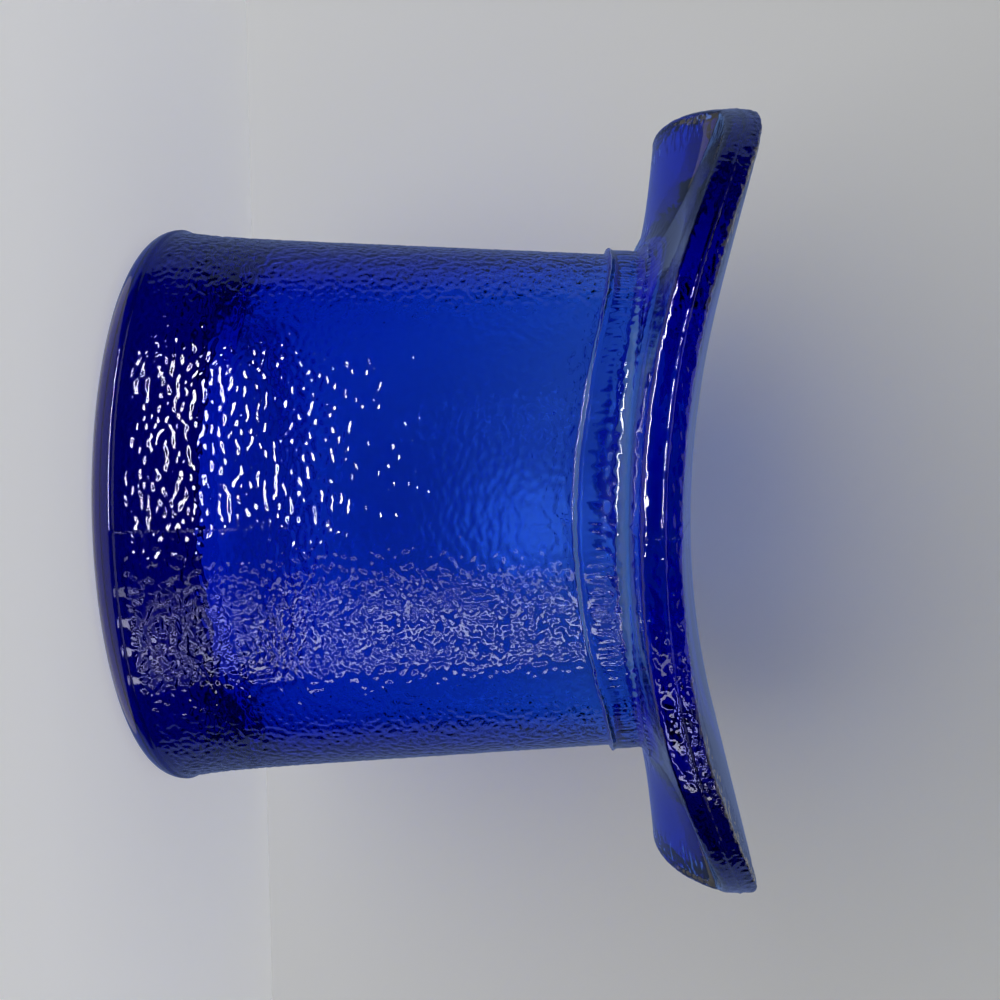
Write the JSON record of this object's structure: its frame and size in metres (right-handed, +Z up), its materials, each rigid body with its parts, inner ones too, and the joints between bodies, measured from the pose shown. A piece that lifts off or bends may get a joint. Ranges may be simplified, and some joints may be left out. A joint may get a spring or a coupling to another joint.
{
  "type": "glass ashtray",
  "caption": "Pressed cobalt glass ashtray in the shape of a top hat, with a pebbled crown, a smooth hat band and a saddle-shaped brim around its open mouth.",
  "frame": {"origin": "centre of the flat closed end of the crown, which is the face the hat stands on", "axes": "+Z up along the crown's axis, from the closed end to the open mouth; X through the two risen ends of the brim; Y through its two lowered sides"},
  "size_m": [0.0832, 0.0816, 0.0619],
  "materials": {
    "cobalt_glass": "transparent cobalt blue pressed glass, fire-polished, with a fine pebbled relief on the crown and on the outer part of the brim's upper face"
  },
  "bodies": {
    "root": {"hat_glass": "cobalt_glass"}
  },
  "joints": []
}
